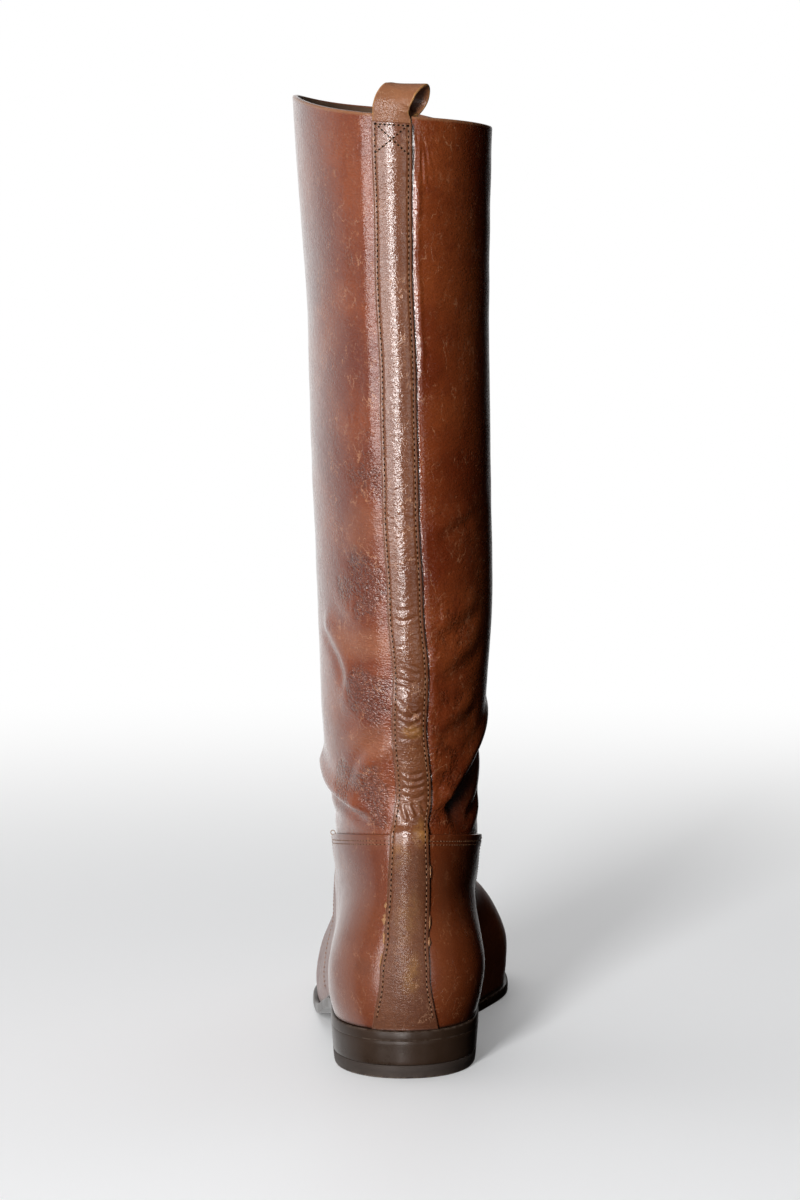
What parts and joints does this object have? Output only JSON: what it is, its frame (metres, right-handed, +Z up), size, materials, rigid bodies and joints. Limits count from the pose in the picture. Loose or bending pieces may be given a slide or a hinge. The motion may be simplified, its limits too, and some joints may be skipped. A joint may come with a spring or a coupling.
{
  "type": "tall leather boot",
  "caption": "Tall flat-heeled leather riding boot for the left foot, with a back strip, a pull loop and a low stacked heel.",
  "frame": {"origin": "on the floor, at the middle of the heel's ground face", "axes": "+Z up the leg, +Y from heel to toe, +X to the medial side of the left foot"},
  "size_m": [0.0937, 0.2753, 0.4255],
  "materials": {
    "oiled_leather": "polished, worn pull-up leather",
    "lining_leather": "matt lining leather",
    "edge_leather": "stained and waxed edge",
    "heel_rubber": "matt moulded rubber"
  },
  "bodies": {
    "root": {"upper": "oiled_leather", "shaft": "oiled_leather", "back_strip": "oiled_leather", "pull_loop": "oiled_leather", "insole": "lining_leather", "outsole": "edge_leather", "heel_stack": "edge_leather", "top_lift": "heel_rubber"}
  },
  "joints": []
}
